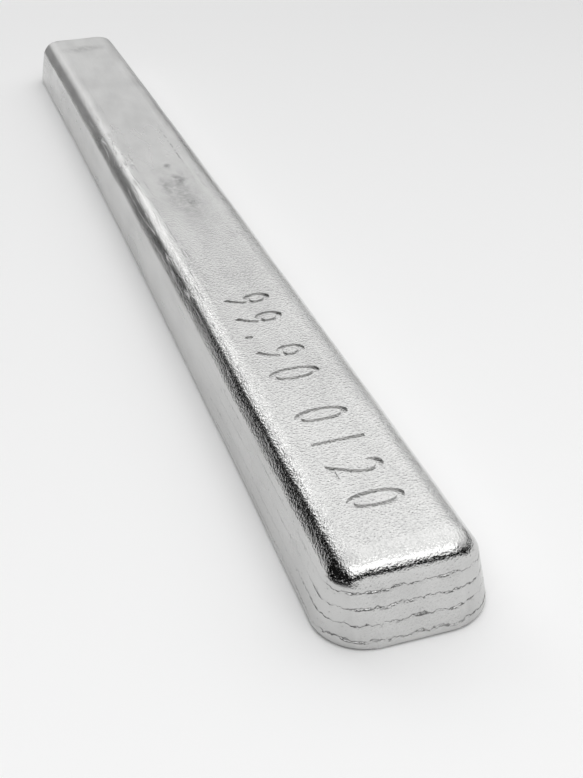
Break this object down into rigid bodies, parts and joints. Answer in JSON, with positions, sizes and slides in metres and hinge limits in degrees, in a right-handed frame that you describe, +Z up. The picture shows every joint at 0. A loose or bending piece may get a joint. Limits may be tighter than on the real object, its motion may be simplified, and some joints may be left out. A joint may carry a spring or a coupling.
{
  "type": "tin ingot",
  "caption": "Long slim cast tin bar with leaning walls, round corners and rounded top edges, lying flat on its wide base as raw stock for melting.",
  "frame": {"origin": "middle of the flat base, on the floor it lies on", "axes": "+X along the bar's length, +Y across its width, +Z up from the wide base to the narrower top face"},
  "size_m": [0.54, 0.05, 0.024],
  "materials": {
    "cast_tin": "satin"
  },
  "bodies": {
    "root": {"ingot": "cast_tin"}
  },
  "joints": []
}
